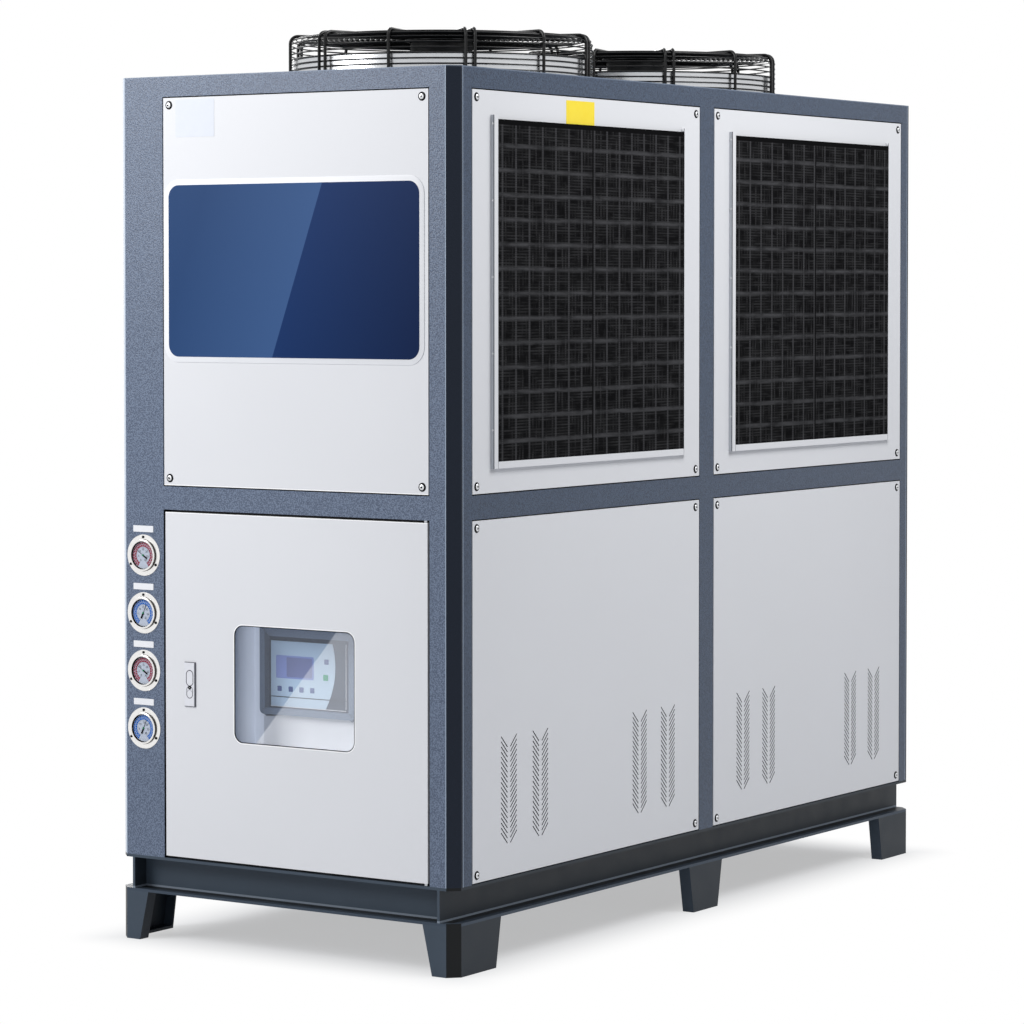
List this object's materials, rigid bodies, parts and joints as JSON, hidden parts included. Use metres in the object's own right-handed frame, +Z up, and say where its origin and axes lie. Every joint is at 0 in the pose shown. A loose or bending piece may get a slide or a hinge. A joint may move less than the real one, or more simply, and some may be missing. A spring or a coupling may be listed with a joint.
{
  "type": "air cooled water chiller",
  "caption": "Packaged air cooled water chiller: framed steel cabinet on feet, hinged control door with window, pressure gauges, side filters and guarded roof fans.",
  "frame": {"origin": "on the floor, under the middle of the cabinet", "axes": "+X to the right across the front, +Y from the front to the rear along the longest side, +Z up"},
  "size_m": [0.888, 2.004, 1.935],
  "materials": {
    "frame_paint": "textured blue-grey powder coat",
    "base_paint": "satin dark grey paint",
    "panel_paint": "smooth light grey powder coat",
    "galvanised": "zinc coated sheet",
    "ring_steel": "bright rolled sheet",
    "guard_black": "gloss black dipped wire",
    "fan_black": "satin black",
    "filter_net": "woven black net on a plastic grid",
    "coil_fins": "thin folded fins",
    "gauge_steel": "polished stainless steel",
    "gauge_glass": "clear",
    "controller_plastic": "grey moulded plastic",
    "pin_steel": "turned",
    "brass": "turned",
    "window_pane": "tinted clear sheet",
    "latch_plastic": "light grey"
  },
  "bodies": {
    "cabinet": {"base_side_rails": "base_paint", "base_end_rails": "base_paint", "base_cross_members": "base_paint", "corner_feet": "base_paint", "middle_feet": "base_paint", "floor_deck": "galvanised", "gauge_post": "frame_paint", "front_post": "frame_paint", "rear_posts": "frame_paint", "top_rails": "frame_paint", "middle_rails": "frame_paint", "side_uprights": "frame_paint", "roof_panel": "frame_paint", "plenum_floor": "galvanised", "front_upper_panel": "panel_paint", "rear_panels": "panel_paint", "coil_panels_right": "panel_paint", "coil_panels_left": "panel_paint", "vent_panels_right": "panel_paint", "vent_panels_left": "panel_paint", "filter_rails_right": "panel_paint", "filter_rails_left": "panel_paint", "filter_screens_right": "filter_net", "filter_screens_left": "filter_net", "condenser_coils": "coil_fins", "fan_ring_front": "ring_steel", "fan_ring_rear": "ring_steel", "fan_guard_front": "guard_black", "fan_guard_rear": "guard_black", "fan_motor_front": "fan_black", "fan_motor_rear": "fan_black", "pressure_gauges": "gauge_steel", "gauge_lenses": "gauge_glass", "switch_tray": "galvanised", "control_recess": "panel_paint", "controller": "controller_plastic", "hinge_pins": "pin_steel", "water_ports": "brass"},
    "door": {"door_panel": "panel_paint", "door_glass": "window_pane", "latch_plate": "latch_plastic"},
    "latch": {"latch_paddle": "latch_plastic"},
    "fan_front": {"fan_rotor_front": "fan_black"},
    "fan_rear": {"fan_rotor_rear": "fan_black"}
  },
  "joints": [
    {"name": "door_hinge", "type": "hinge", "parent": "cabinet", "child": "door", "pos_m": [0.3605, -0.9825, 0.55], "axis": [0, 0, 1], "range_deg": [0, 100]},
    {"name": "latch_pivot", "type": "hinge", "parent": "door", "child": "latch", "pos_m": [-0.239, -0.9895, 0.5726], "axis": [-1, 0, 0], "range_deg": [0, 40]},
    {"name": "front_fan_spin", "type": "hinge", "parent": "cabinet", "child": "fan_front", "pos_m": [0, -0.405, 1.8], "axis": [0, 0, 1], "continuous": true},
    {"name": "rear_fan_spin", "type": "hinge", "parent": "cabinet", "child": "fan_rear", "pos_m": [0, 0.405, 1.8], "axis": [0, 0, 1], "continuous": true}
  ]
}
